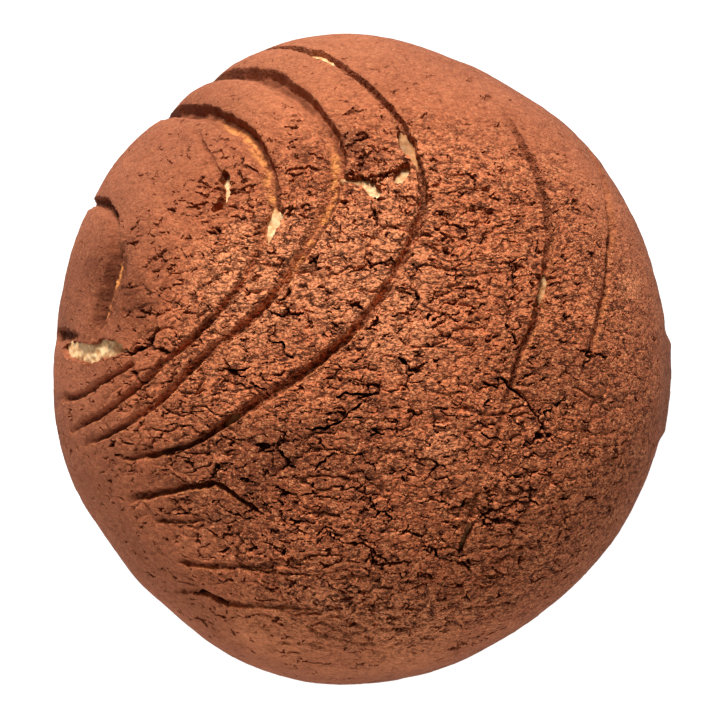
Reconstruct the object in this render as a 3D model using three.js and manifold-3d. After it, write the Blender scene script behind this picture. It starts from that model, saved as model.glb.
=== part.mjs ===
// Concha: a round sweet bun under a cap of cocoa paste, scored with curved lines like a scallop shell.
// Millimetres, +Z up, the origin at the middle of the flat base.
import * as THREE from "three";
import { mergeVertices } from "three/addons/utils/BufferGeometryUtils.js";
import Module from "manifold-3d";

const wasm = await Module();
wasm.setup();

// Driving dimensions of the dome, measured on the outside of the paste
const GIRTH_RADIUS = 57.5; // mean radius at the widest level
const GIRTH_HEIGHT = 17; // widest level above the base
const DOME_RISE = 36; // widest level to the top
const DOME_FULLNESS = 2.25; // 2 is an ellipse, more has a fuller shoulder
const SKIRT_DROP = 5.5; // the paste hangs this far below the widest level
const SKIRT_TUCK = 1; // and draws in this much on the way

// The paste and the bread under it
const PASTE_THICKNESS = 3.2;
const JOIN_GAP = 0.3; // between paste and bread
const WAIST_HEIGHT = 6.5; // the bread is straight from the lip down to here
const FOOT_RADIUS = 54.6; // the foot swells out under the lip
const FOOT_HEIGHT = 3.4; // level where the foot is widest
const BASE_RADIUS = 50; // flat underside

// The bun isn't quite round: share of the radius, by number of lobes and the bearing of one lobe in degrees
const OUTLINE_WAVES = [
  { lobes: 2, share: 0.02, bearing: 90 },
  { lobes: 3, share: 0.006, bearing: 0 },
  { lobes: 4, share: 0.006, bearing: 0 },
  { lobes: 5, share: 0.0045, bearing: -31 },
  { lobes: 6, share: 0.0045, bearing: 29 },
  { lobes: 7, share: 0.005, bearing: -8 },
];

// The lip of the paste hangs lower in places, and flares out where the skirt was pressed
const LIP_WAVES = [
  { lobes: 3, drop: 0.7, bearing: 40 },
  { lobes: 5, drop: 0.5, bearing: 10 },
  { lobes: 8, drop: 0.3, bearing: 70 },
];
const LIP_FLARES = [
  { bearing: -5, halfWidth: 11, reach: 1.3 },
  { bearing: -98, halfWidth: 36, reach: 1.1 },
];
const FLARE_CREST = 0.7; // share of a flare that is level

// Scored lines, drawn on the paste while it lay flat: points that a smooth curve runs through.
// Distances are from the middle of the disc of paste, and depth runs from the start to the end of the line.
const SCORES = [
  {
    points: [[-44, 4], [-42.9, 10.7], [-40.6, 18.5], [-40.6, 25], [-44.3, 29.9], [-54, 34], [-68, 38]],
    width: 3,
    depth: [1, 2.2],
  },
  { points: [[-23, 10], [-19.6, 17.4], [-18, 25.7], [-19.8, 33], [-27, 43]], width: 1.8, depth: [0.6, 0.7] },
  { points: [[-58, -8.2], [-50.6, -7.1], [-44.6, -4.7], [-36, -0.6]], width: 2, depth: [0.9, 1.3] },
  {
    points: [
      [-54, -14], [-38, -7.4], [-24.4, 3.4], [-14.5, 12.6], [-8.9, 26],
      [-12.8, 37.2], [-20.5, 44.9], [-34.7, 52.5], [-52, 60],
    ],
    width: 3.4,
    depth: [1.2, 2.4],
  },
  {
    points: [
      [-49, -16.4], [-33.5, -9.9], [-22.8, -0.6], [-12.5, 7.4], [-4.1, 16],
      [1.7, 28.3], [0.7, 39], [-7.8, 49.4], [-21.4, 58.7], [-40, 66],
    ],
    width: 3.6,
    depth: [1.2, 2.5],
  },
  {
    points: [
      [-38.5, -18.7], [-26.5, -16.2], [-12.6, -8.5], [1.8, 1.4], [11.8, 12.4],
      [17.7, 28], [14.6, 40.1], [5.9, 51.4], [-8.7, 61.8], [-24, 70],
    ],
    width: 3,
    depth: [1.6, 2],
  },
  {
    points: [[24, -36], [29, -20], [35, -2], [39.9, 11.1], [41.2, 23], [38.9, 35.6], [33, 50]],
    width: 2.4,
    depth: [0.5, 0.8],
  },
  { points: [[49.5, 1], [53.1, 11.8], [55.2, 22.3], [56.2, 36.5], [55, 50]], width: 2.4, depth: [0.5, 0.6] },
  {
    points: [[-39, -27], [-31.7, -24.3], [-22.9, -22.9], [-19, -22.2], [-11, -26.5]],
    width: 2.2,
    depth: [1.3, 1.2],
  },
  { points: [[-33, -30.3], [-27.4, -29.9], [-22.5, -28.9]], width: 1.8, depth: [1, 0.9] },
  { points: [[-29.5, -38.2], [-24.8, -38.3], [-16.1, -37.1], [-7, -35.7]], width: 2, depth: [1.1, 0.7] },
  {
    points: [[-32.5, -44.9], [-24.7, -43.7], [-20.3, -44.6], [-9.4, -44], [-2, -44.5]],
    width: 2.4,
    depth: [1.5, 0.7],
  },
];
const SCORE_SIDES = 10; // sides of the round tool that presses a line
const SCORE_STEP = 3.4; // length of one facet along a line
const SCORE_RUNOUT = 0.12; // share of a line over which each end comes up to the surface

// Tears where the paste split as the dough rose, and the bread shows: ends on the flat disc, and width
const TEARS = [
  { from: [-58, 2.2], to: [-38, 2], width: 3.4 },
  { from: [-18.6, 32.5], to: [-18.2, 27.5], width: 1.6 },
  { from: [-8.4, 26], to: [-8.6, 21.5], width: 1.8 },
  { from: [3, 31.2], to: [11.4, 31.2], width: 2.4 },
  { from: [9.6, 30.8], to: [15.2, 36], width: 2.2 },
  { from: [12.6, 43], to: [17, 34.5], width: 1.8 },
  { from: [-7.2, 60.6], to: [-1.2, 57.2], width: 1.6 },
  { from: [41.2, 16.2], to: [40.4, 10.4], width: 1.6 },
  { from: [26.7, -29.6], to: [24, -35], width: 1.6 },
  { from: [-14, -10], to: [-18.4, -12.8], width: 1.5 },
];
const TEAR_REACH = 1.5; // depth of a tear in paste thicknesses

// Facets
const ROUND_STEPS = 64; // around the bun
const OUTER_STEPS = 15; // top to widest level, outside
const INNER_STEPS = 9; // top to widest level, where paste and bread meet
const SKIRT_STEPS = 2;
const LIP_STEPS = 3;
const WAIST_STEPS = 2;
const FOOT_STEPS = 3;
const MEASURE_STEPS = 400; // fine steps that measure lengths along the dome

const radians = THREE.MathUtils.degToRad;

const { clamp, lerp, smoothstep, euclideanModulo } = THREE.MathUtils;

// Sum of waves round the bun at a bearing
function waveSum(waves, size, bearing) {
  const heights = waves.map((wave) => wave[size] * Math.cos(wave.lobes * (bearing - radians(wave.bearing))));
  return heights.reduce((sum, height) => sum + height, 0);
}

const outlineScale = (bearing) => 1 + waveSum(OUTLINE_WAVES, "share", bearing);

// How far the skirt flares at a bearing: a bump with soft ends for each flare
function flareReach(bearing) {
  const bumps = LIP_FLARES.map((flare) => {
    const turn = euclideanModulo(bearing - radians(flare.bearing) + Math.PI, 2 * Math.PI) - Math.PI;
    const halfWidth = radians(flare.halfWidth);
    return flare.reach * (1 - smoothstep(Math.abs(turn), FLARE_CREST * halfWidth, halfWidth));
  });
  return bumps.reduce((sum, bump) => sum + bump, 0);
}

// A point of the dome's profile as (radius, height): the angle is 0 at the top and a right angle at the girth
function domePoint(angle) {
  return new THREE.Vector2(
    GIRTH_RADIUS * Math.sin(angle) ** (2 / DOME_FULLNESS),
    GIRTH_HEIGHT + DOME_RISE * Math.cos(angle),
  );
}

// A point of the skirt's profile: share runs from 0 at the girth to 1 at the lip
function skirtPoint(share) {
  return new THREE.Vector2(GIRTH_RADIUS - SKIRT_TUCK * share ** 2, GIRTH_HEIGHT - SKIRT_DROP * share);
}

// The whole profile from the top to the lip
function profile(domeSteps, skirtSteps) {
  const dome = Array.from({ length: domeSteps + 1 }, (_, i) => domePoint((i / domeSteps) * (Math.PI / 2)));
  const skirt = Array.from({ length: skirtSteps }, (_, i) => skirtPoint((i + 1) / skirtSteps));
  return [...dome, ...skirt];
}

// The profile moved inwards along its normals by an inset; the first point stays on the axis
function insetProfile(points, inset) {
  return points.map((point, i) => {
    if (i === 0) {
      return new THREE.Vector2(0, point.y - inset);
    }
    const along = points[Math.min(i + 1, points.length - 1)].clone().sub(points[i - 1]).normalize();
    return new THREE.Vector2(point.x + along.y * inset, point.y - along.x * inset);
  });
}

// The flat disc of paste laid over the dome: a disc point becomes a place on the dome and its outward normal
const fine = profile(MEASURE_STEPS, MEASURE_STEPS / 8);
const lengths = [0];
fine.slice(1).forEach((point, i) => lengths.push(lengths[i] + point.distanceTo(fine[i])));

function onDome([x, y]) {
  const along = Math.hypot(x, y);
  const bearing = Math.atan2(y, x);
  const next = Math.max(1, lengths.findIndex((length) => length >= along));
  const share = (along - lengths[next - 1]) / (lengths[next] - lengths[next - 1]);
  const place = fine[next - 1].clone().lerp(fine[next], share);
  const slope = fine[next].clone().sub(fine[next - 1]).normalize();
  const radius = place.x * outlineScale(bearing);
  return {
    place: new THREE.Vector3(radius * Math.cos(bearing), radius * Math.sin(bearing), place.y),
    normal: new THREE.Vector3(-slope.y * Math.cos(bearing), -slope.y * Math.sin(bearing), slope.x),
  };
}

// A closed geometry as a solid that can be cut
function solidOf(geometry) {
  geometry.deleteAttribute("normal");
  geometry.deleteAttribute("uv");
  const merged = mergeVertices(geometry, 1e-4);
  const corners = merged.index.array;
  const triangles = [];
  for (let i = 0; i < corners.length; i += 3) {
    const [a, b, c] = corners.slice(i, i + 3);
    if (a !== b && b !== c && c !== a) {
      triangles.push(a, b, c);
    }
  }
  return new wasm.Manifold(
    new wasm.Mesh({
      numProp: 3,
      vertProperties: merged.attributes.position.array,
      triVerts: new Uint32Array(triangles),
    }),
  );
}

function geometryOf(solid) {
  const { vertProperties, triVerts } = solid.getMesh();
  const geometry = new THREE.BufferGeometry();
  geometry.setAttribute("position", new THREE.BufferAttribute(vertProperties, 3));
  geometry.setIndex(new THREE.BufferAttribute(triVerts, 1));
  geometry.computeVertexNormals();
  return geometry;
}

// A profile turned round the bun's axis, then given the bun's own uneven outline
function turned(points, shapeVertex) {
  const geometry = new THREE.LatheGeometry(points, ROUND_STEPS).rotateX(Math.PI / 2);
  const position = geometry.attributes.position;
  for (let i = 0; i < position.count; i += 1) {
    const vertex = new THREE.Vector3().fromBufferAttribute(position, i);
    const bearing = Math.atan2(vertex.y, vertex.x);
    const shaped = shapeVertex(Math.hypot(vertex.x, vertex.y), vertex.z, bearing);
    position.setXYZ(i, shaped.radius * Math.cos(bearing), shaped.radius * Math.sin(bearing), shaped.height);
  }
  return geometry;
}

// Bread: dome under the paste, straight waist behind the lip, rounded foot, flat underside
function makeBread() {
  const dome = insetProfile(profile(INNER_STEPS, SKIRT_STEPS), PASTE_THICKNESS + JOIN_GAP);
  const side = dome.at(-1).x;
  const waist = Array.from({ length: WAIST_STEPS + 1 }, (_, i) => {
    const share = i / WAIST_STEPS;
    return new THREE.Vector2(
      lerp(side, FOOT_RADIUS, smoothstep(share, 0, 1)),
      lerp(WAIST_HEIGHT, FOOT_HEIGHT, share),
    );
  });
  const foot = Array.from({ length: FOOT_STEPS }, (_, i) => {
    const angle = ((i + 1) / FOOT_STEPS) * (Math.PI / 2);
    return new THREE.Vector2(
      BASE_RADIUS + (FOOT_RADIUS - BASE_RADIUS) * Math.cos(angle),
      FOOT_HEIGHT * (1 - Math.sin(angle)),
    );
  });
  const points = [...dome, ...waist, ...foot, new THREE.Vector2(0, 0)].reverse();
  return turned(points, (radius, height, bearing) => ({ radius: radius * outlineScale(bearing), height }));
}

// Paste cap before it is scored: outside, rounded lip, inside
function makeCap() {
  const outside = profile(OUTER_STEPS, SKIRT_STEPS);
  const inside = insetProfile(profile(INNER_STEPS, SKIRT_STEPS), PASTE_THICKNESS);
  const outerEnd = outside.at(-1);
  const innerEnd = inside.at(-1);
  const middle = outerEnd.clone().lerp(innerEnd, 0.5);
  const across = outerEnd.clone().sub(middle);
  const lip = Array.from({ length: LIP_STEPS }, (_, i) => {
    const turn = -((i + 1) / (LIP_STEPS + 1)) * Math.PI;
    return across.clone().rotateAround(new THREE.Vector2(), turn).add(middle);
  });
  const points = [...outside, ...lip, ...inside.reverse()].reverse();
  const deepest = LIP_WAVES.reduce((sum, wave) => sum + wave.drop, 0);
  return turned(points, (radius, height, bearing) => {
    const low = clamp((GIRTH_HEIGHT - height) / SKIRT_DROP, 0, 1);
    return {
      radius: radius * outlineScale(bearing) + low * flareReach(bearing),
      height: height - low * (deepest + waveSum(LIP_WAVES, "drop", bearing)),
    };
  });
}

// One scored line: a round tool drawn along the curve, sunk to the line's depth
function scoreCutter({ points, width, depth }) {
  const line = new THREE.SplineCurve(points.map(([x, y]) => new THREE.Vector2(x, y)));
  const steps = Math.max(5, Math.round(line.getLength() / SCORE_STEP));
  const deepest = Math.max(...depth);
  const tool = (width ** 2 / 4 + deepest ** 2) / (2 * deepest);
  const path = line.getSpacedPoints(steps).map((point, i) => {
    const share = i / steps;
    const ends = smoothstep(Math.min(share, 1 - share), -SCORE_RUNOUT / 2, SCORE_RUNOUT);
    const sunk = lerp(...depth, share) * ends;
    const { place, normal } = onDome(point.toArray());
    return place.addScaledVector(normal, tool - sunk);
  });
  const section = new THREE.Shape().absarc(0, 0, tool, 0, 2 * Math.PI);
  return new THREE.ExtrudeGeometry(section, {
    steps,
    curveSegments: SCORE_SIDES / 2,
    extrudePath: new THREE.CatmullRomCurve3(path),
  });
}

// One tear: a lens through the paste, pointed at both ends
function tearCutter({ from, to, width }) {
  const start = onDome(from);
  const end = onDome(to);
  const middle = onDome([(from[0] + to[0]) / 2, (from[1] + to[1]) / 2]);
  const along = end.place.clone().sub(start.place);
  const length = along.length();
  const across = new THREE.Vector3().crossVectors(middle.normal, along).normalize();
  const out = new THREE.Vector3().crossVectors(along, across).normalize();
  const frame = new THREE.Matrix4().makeBasis(along.normalize(), across, out);
  frame.scale(new THREE.Vector3(length / 2, width / 2, TEAR_REACH * PASTE_THICKNESS));
  frame.setPosition(middle.place);
  return new THREE.SphereGeometry(1, 12, 8).applyMatrix4(frame);
}

function makeTopping() {
  const cutters = [...SCORES.map(scoreCutter), ...TEARS.map(tearCutter)];
  const scored = cutters.reduce((cap, cutter) => cap.subtract(solidOf(cutter)), solidOf(makeCap()));
  return geometryOf(scored);
}

const breadLook = new THREE.MeshStandardMaterial({ color: 0xc8965a, roughness: 0.85, metalness: 0 });
const pasteLook = new THREE.MeshStandardMaterial({ color: 0x8f5236, roughness: 0.95, metalness: 0 });

const bread = new THREE.Mesh(makeBread(), breadLook);
bread.name = "bread";
const topping = new THREE.Mesh(makeTopping(), pasteLook);
topping.name = "topping";

const concha = new THREE.Group();
concha.name = "concha";
concha.add(bread, topping);

export default concha;
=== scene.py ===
import math

import bpy
import numpy as np
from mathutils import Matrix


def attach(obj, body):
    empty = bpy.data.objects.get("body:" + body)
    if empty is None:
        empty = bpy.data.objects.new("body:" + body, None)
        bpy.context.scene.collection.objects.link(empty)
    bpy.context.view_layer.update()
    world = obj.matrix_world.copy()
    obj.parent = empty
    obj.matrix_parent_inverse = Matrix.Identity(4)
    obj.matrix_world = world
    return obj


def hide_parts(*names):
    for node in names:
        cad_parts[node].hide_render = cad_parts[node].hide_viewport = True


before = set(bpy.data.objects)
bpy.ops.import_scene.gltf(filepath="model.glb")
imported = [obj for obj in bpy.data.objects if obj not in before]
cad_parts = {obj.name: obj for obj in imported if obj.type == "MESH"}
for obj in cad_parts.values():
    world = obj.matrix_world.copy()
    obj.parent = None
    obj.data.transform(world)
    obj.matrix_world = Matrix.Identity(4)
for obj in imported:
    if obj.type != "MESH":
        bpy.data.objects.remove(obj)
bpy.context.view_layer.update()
MM = 0.001

# The dome, measured on the outside of the paste
GIRTH_RADIUS = 57.5
GIRTH_HEIGHT = 17
DOME_RISE = 36
DOME_FULLNESS = 2.25
SKIRT_DROP = 5.5
SKIRT_TUCK = 1

# The paste and the bread under it
PASTE_THICKNESS = 3.2
JOIN_GAP = 0.3
WAIST_HEIGHT = 6.5
FOOT_RADIUS = 54.6
FOOT_HEIGHT = 3.4
BASE_RADIUS = 50
# The base's own rings end just inside the last ring of the foot
BASE_SHARE = 0.999

# Uneven outline: number of lobes, share of the radius, bearing of one lobe in degrees
OUTLINE_WAVES = [
    (2, 0.02, 90),
    (3, 0.006, 0),
    (4, 0.006, 0),
    (5, 0.0045, -31),
    (6, 0.0045, 29),
    (7, 0.005, -8),
]
# Hanging lip: number of lobes, drop, bearing; and flares: bearing, half width in degrees, reach
LIP_WAVES = [(3, 0.7, 40), (5, 0.5, 10), (8, 0.3, 70)]
LIP_FLARES = [(-5, 11, 1.3), (-98, 36, 1.1)]
FLARE_CREST = 0.7

# Scored lines on the flat disc of paste: points that a smooth curve runs through; share of the line, width
# and depth at a few stops along it; and where the floor is golden: from, to, and share of the half width.
# A line with an apron has its steep wall on the left, and on the right the paste rises over that width.
SCORES = [
    dict(
        points=[(-47, 4), (-46, 10.7), (-43.8, 18.5), (-43.4, 25), (-46, 29.9), (-54.5, 34), (-68, 38)],
        stops=[(0, 2.2, 1.6), (0.1, 2.4, 2.1), (0.45, 2.4, 2.3),
               (0.6, 2.6, 2.0), (0.9, 2.2, 0.9), (1, 2.0, 0.6)],
        gold=(0.1, 0.4, 0.5),
        apron=6.5,
    ),
    dict(
        points=[(-23, 10), (-19.6, 17.4), (-18, 25.7), (-19.8, 33), (-27, 43)],
        stops=[(0, 1.2, 0.5), (0.5, 1.6, 0.6), (1, 1.4, 0.6)],
    ),
    dict(
        points=[(-58, -8.2), (-50.6, -7.1), (-44.6, -4.7), (-36, -0.6)],
        stops=[(0, 1.6, 1.0), (1, 1.2, 1.5)],
    ),
    dict(
        points=[(-54, -14), (-38, -7.4), (-24.4, 3.4), (-14.5, 12.6), (-8.9, 26),
                (-12.8, 37.2), (-20.5, 44.9), (-34.7, 52.5), (-52, 60)],
        stops=[(0, 1.3, 1.3), (0.13, 1.2, 1.6), (0.25, 1.3, 1.4),
               (0.42, 1.5, 1.5), (0.55, 3.2, 2.1), (1, 3.4, 2.2)],
        gold=(0.5, 0.72, 0.9),
    ),
    dict(
        points=[(-49, -16.4), (-33.5, -9.9), (-22.8, -0.6), (-12.5, 7.4), (-4.1, 16),
                (1.7, 28.3), (0.7, 39), (-7.8, 49.4), (-21.4, 58.7), (-40, 66)],
        stops=[(0, 1.3, 1.3), (0.12, 1.3, 1.6), (0.25, 1.5, 1.6),
               (0.4, 1.8, 1.8), (0.6, 3.4, 2.2), (1, 3.6, 2.2)],
        gold=(0.42, 0.6, 1.0),
    ),
    dict(
        points=[(-38.5, -18.7), (-26.5, -16.2), (-12.6, -8.5), (1.8, 1.4), (11.8, 12.4),
                (17.7, 28), (14.6, 40.1), (5.9, 51.4), (-8.7, 61.8), (-24, 70)],
        stops=[(0, 1.2, 1.9), (0.1, 1.2, 2.0), (0.25, 1.8, 1.6), (0.45, 1.7, 1.7),
               (0.6, 1.3, 2.0), (0.75, 1.5, 1.7), (1, 1.6, 1.1)],
    ),
    dict(
        points=[(24, -36), (29, -20), (35, -2), (39.9, 11.1), (41.2, 23), (38.9, 35.6), (33, 50)],
        stops=[(0, 1.4, 0.6), (0.15, 1.4, 0.3), (0.35, 1.5, 0.9),
               (0.5, 1.6, 1.7), (0.8, 1.7, 1.7), (1, 1.8, 0.6)],
    ),
    dict(
        points=[(49.5, 1), (53.1, 11.8), (55.2, 22.3), (56.2, 36.5), (55, 50)],
        stops=[(0, 1.6, 0.8), (0.5, 1.8, 1.3), (1, 2.0, 0.8)],
    ),
    dict(
        points=[(-39, -27), (-31.7, -24.3), (-22.9, -22.9), (-19, -22.2), (-11, -26.5)],
        stops=[(0, 1.8, 1.2), (0.5, 1.2, 1.6), (1, 1.0, 2.0)],
    ),
    dict(points=[(-53, 4.2), (-60, 5.2), (-68, 5.8)], stops=[(0, 2.4, 0.8), (0.5, 3.0, 1.6), (1, 3.0, 1.4)]),
    dict(points=[(-33, -30.3), (-27.4, -29.9), (-22.5, -28.9)], stops=[(0, 1.3, 0.9), (1, 1.2, 0.8)]),
    dict(
        points=[(-29.5, -38.2), (-24.8, -38.3), (-16.1, -37.1), (-7, -35.7)],
        stops=[(0, 1.3, 0.9), (0.3, 1.5, 0.8), (1, 1.4, 0.4)],
    ),
    dict(
        points=[(-32.5, -44.9), (-24.7, -43.7), (-20.3, -44.6), (-9.4, -44), (-2, -44.5)],
        stops=[(0, 1.4, 0.5), (0.4, 1.6, 0.8), (1, 1.6, 0.3)],
    ),
]
SCORE_STEP = 1.0
SCORE_RUNOUT = 0.08
SHOULDER_DROP = 0.75
SHOULDER_WIDTH = 3.2
# Widths between which a plain slit turns into a step with a steep outer wall and a gentle inner slope
SLIT_WIDTH = 1.5
STEP_WIDTH = 3.0

# Tears that show the bread: points on the flat disc, width, how far the bread bulges into the tear,
# and how pale it is; a low paleness is partly painted shade, for tears that lie in shadow
TEARS = [
    ([(-60.5, 2.6), (-53, 1.6), (-48.6, 1.0), (-43, 2.4), (-38.6, 2.0)], 3.6, 1.6, 0.85),
    ([(-19.2, 34.4), (-18.5, 31), (-18.2, 28)], 1.9, 1.1, 0.95),
    ([(-18.2, 29), (-20.4, 26.4)], 1.0, 0.7, 0.5),
    ([(-9, 26.4), (-9.2, 23.5), (-9.8, 20.4)], 1.8, 1.1, 0.95),
    ([(-7.3, 26), (-8.8, 22.8)], 1.6, 1.1, 0.95),
    ([(3, 31.6), (6, 31.4), (8, 31)], 1.2, 1.6, 0.5),
    ([(6.4, 31.6), (8, 31), (9.8, 28.8)], 2.2, 1.6, 0.9),
    ([(12.6, 31.6), (13.6, 33.4), (14.8, 35.6)], 2.0, 1.3, 0.8),
    ([(12.8, 42.5), (14.8, 39.2), (16.6, 35)], 2.1, 1.2, 0.3),
    ([(-7.2, 60.6), (-1, 57.3)], 2.0, 2.0, 0.9),
    ([(40.9, 16), (40.1, 10.6)], 1.5, 1.0, 0.6),
    ([(26.9, -29.2), (25.4, -32.2), (23.9, -35.4)], 0.9, 1.7, 0.25),
    ([(-15, -9.8), (-18.4, -12)], 1.3, 0.8, 0.3),
]
# Paste left at the bottom of a tear
TEAR_FLOOR = 0.12

# The longest fissures of the crust: points on the flat disc, and greatest width
FISSURES = [
    ([(-41, 2.6), (-37.3, 1.5), (-33.4, 2.3), (-30.8, 5.6), (-31.9, 8.5)], 1.5),
    ([(-18.6, 0), (-14.4, -3.2), (-8.9, -5.9)], 0.9),
    ([(43.8, -6.9), (40, -9.6), (39.7, -13.3), (35.2, -16)], 1.0),
    ([(31.7, -3.6), (33.6, -4.7), (36.9, -7.5)], 1.0),
    ([(46, 2), (49.5, 1.7), (53.4, 0.9)], 0.8),
    ([(-9.9, 3.6), (-7.1, 2.7), (-5.7, -0.3)], 1.0),
    ([(-3.4, -11.6), (3.1, -10.9), (4.5, -9.5), (8.3, -7.5)], 0.9),
    ([(2.5, -5.6), (7.4, -6), (10.4, -5.5)], 1.0),
    ([(14.2, 0.9), (16.4, -0.3)], 1.5),
    ([(-18.4, -25.3), (-14.7, -26.5), (-12.1, -27.9)], 0.9),
    ([(-0.8, -28.8), (3.6, -31.2), (10.4, -34)], 0.8),
    ([(17.7, -34), (21.9, -35.7), (26.7, -38.8)], 1.4),
    ([(7.8, -36.7), (11.7, -36.2), (15.4, -36.3)], 0.9),
    ([(27.1, -29.1), (29.9, -27.9), (34.1, -26.2), (39.3, -26.5)], 0.9),
    ([(28.4, -12.6), (30.6, -13.3), (32.2, -14.3)], 0.9),
    ([(-36.8, -1.9), (-34.5, -4.5), (-32.3, -4.8)], 0.9),
    ([(-41.4, -17.6), (-38.3, -18.2)], 1.1),
    ([(-25.7, -18.3), (-23.4, -20)], 0.9),
    ([(-27.6, -44.7), (-24.4, -43.6), (-19.6, -45)], 2.6),
    ([(-26, 27.5), (-21.5, 28.6)], 1.0),
    ([(2.4, 32.4), (7.3, 32.2), (10.6, 32.4), (13.4, 34.6)], 1.0),
]
FISSURE_DEPTH = 2.4

# Cracks of the crust, which run along the edges of plates and come and go: plate size, widest gap, depth,
# how much the plates differ in height, and how seldom a gap opens
CRAZES = [
    dict(plate=5.2, gap=0.55, depth=1.25, lift=0.1, seldom=0.12, seed=11),
    dict(plate=2.3, gap=0.34, depth=0.7, lift=0.16, seldom=0.0, seed=23),
]
# Lumps of crumb between the cracks, with valleys round them: size and depth
CRUMBS = [
    dict(size=4.4, depth=0.6, seed=61),
    dict(size=2.0, depth=0.3, seed=67),
]
# The plates are longer across the picture than up it
PLATE_STRETCH = (0.72, 1.25, 1.0)
# The crust is grainiest and most cracked near these points, and that fades between these distances
CRUMBLY_CENTRE = (19, -6)
CRUMBLY_REACH = (24, 66)
CRACKED_CENTRE = (5, -6)
CRACKED_REACH = (32, 66)
# Painted light: the colour is painted lightest round this point and darkens between these distances
LIGHT_CENTRE = (14, -4)
LIGHT_REACH = (26, 68)

# Patches of painted light and shade, and a few real dark spots and dusty patches of the crust:
# darker below 0, lighter above 0: point of the disc, radius, strength
TONE_AND_PAINTED_LIGHT_PATCHES = [
    ((4, 15), 27, 0.7),
    ((-20, 10), 15, 0.25),
    ((-42, 8), 15, -0.4),
    ((-10, 62), 24, 0.2),
    ((-12, -50), 22, 0.45),
    ((12, -49), 22, 0.45),
    ((-56, 16), 17, -0.35),
    ((-61, -10), 14, -0.3),
    ((-22, -20), 22, -0.42),
    ((4, -22), 22, -0.4),
    ((46, -6), 18, -0.4),
    ((30, -26), 22, -0.2),
    ((-34, 17), 14, -0.3),
    ((-44, -14), 16, -0.25),
    ((4.1, 38.8), 3.5, -0.6),
    ((-3.7, 35.4), 3, -0.5),
    ((20.9, -14.9), 5.5, 0.7),
    ((59.7, 15.4), 6, 0.5),
]

# Unevenness of the surfaces, in layers of noise: height, size of the lumps, seed
LINE_WOBBLE = [(0.45, 6, 101), (0.25, 1.6, 102), (0.2, 0.75, 103)]
PASTE_LUMPS = [(0.35, 16, 104), (0.175, 8, 111), (0.07, 4.5, 105), (0.035, 2.25, 112)]
SCORE_ROUGHNESS = [(0.36, 0.9, 107), (0.2, 0.45, 108)]
FISSURE_SWELL = [(0.35, 2.2, 131), (0.45, 0.9, 132)]
FISSURE_STRAY = [(0.45, 0.9, 133), (0.5, 2.4, 134)]
TEAR_RAGGED = [(0.5, 2.2, 141), (0.5, 0.9, 142)]
TEAR_FRAYED = [(0.2, 0.45, 143)]
BREAD_CRUMB = [(0.2, 1.6, 151), (0.2, 0.7, 152)]
BREAD_SIDE = [(0.45, 6, 153), (0.3, 2.2, 154)]

# Colours as seen on a screen, before light falls on them; where there are two, they alternate in blotches
# Painted light and shade: lighter on the top, darker down the sides and at the rim
LIT_TOP_COLORS = [(196, 108, 67), (210, 120, 76)]
SHADED_SIDE_COLORS = [(140, 80, 54), (152, 88, 60)]
SHADED_RIM_COLOR = (128, 74, 51)
BLOTCH_COLOR = (138, 73, 44)
STAIN_COLOR = (110, 56, 34)
# Painted shade in the darker patches, and real dark spots; painted light in the lighter patches, and real
# dust
DARK_PATCH_AND_PAINTED_SHADE_COLOR = (80, 35, 18)
DUST_AND_PAINTED_LIGHT_COLOR = (234, 147, 99)
LIGHT_GRAIN_COLOR = (236, 160, 108)
DARK_GRAIN_COLOR = (112, 50, 27)
# Painted shade in the hollows between grains, in pits and in creases
HOLLOW_SHADE_COLOR = (84, 36, 18)
PIT_SHADE_COLOR = (82, 34, 17)
THIN_CREASE_SHADE_COLOR = (78, 33, 17)
WIDE_CREASE_SHADE_COLOR = (64, 25, 12)
# Painted shade in the scored grooves
GROOVE_SHADE_COLOR = (78, 36, 20)
# Golden floor of the grooves; also a painted highlight on lit edges
GOLD_AND_HIGHLIGHT_COLOR = (228, 146, 80)
# Painted shade in the cracks
CRACK_SHADE_COLOR = (60, 23, 11)
CRUST_COLORS = [(142, 84, 41), (168, 107, 56)]
LIGHT_CRUST_COLOR = (190, 132, 76)
DARK_CRUST_COLOR = (104, 56, 26)
PORE_COLOR = (96, 50, 24)
BASE_COLOR = (108, 58, 27)
CRUMB_COLORS = [(206, 152, 98), (240, 205, 152)]
# The floor reflects little light and glows evenly, so that it stays pale under every lamp
FLOOR_TONES = [0.22, 0.25]
FLOOR_GLOW = 0.96

# Lamps: bearing and height above the floor, in degrees, strength, and spread of their light in degrees
LAMPS = {
    "key": (92, 34, 6.0, 22),
    "fill": (-114, 2, 2.8, 60),
}
WALL_LIGHT = 0.5
CEILING_LIGHT = 0.1

# Camera: tilted off the vertical towards +X, the bun's middle in the middle of a square picture
CAMERA_TILT = 10
CAMERA_DISTANCE = 650
CAMERA_TARGET_HEIGHT = 20
PICTURE_SIDE = 720
PIXELS_PER_MM = 5.474
FRAME_SHIFT = 1.3
SENSOR = 36

# Meshes: spacing of the paste's points before it is reduced, and triangles after
FINE_SPACING = 0.2
TOPPING_TRIANGLES = 190000
BUN_TRIANGLES = 90000
# Edges that bend by more than this, in degrees, are shaded as sharp
SHARP_ANGLE = 35
# Points that a fissure or a tear is filled in with, and how far from it the surface is worked on
LINE_POINTS = 24
FISSURE_REACH = 3
TEAR_REACH = 2
# The floor lies a hair below the flat base, so that the two faces don't meet
FLOOR_GAP = 0.1
FLOOR_HALF = 3000


def smoothstep(low, high, value):
    """Rise from 0 at low to 1 at high, level at both ends; low may be the larger."""
    t = np.clip((value - low) / (high - low), 0, 1)
    return t * t * (3 - 2 * t)


# Seeded noise


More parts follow.
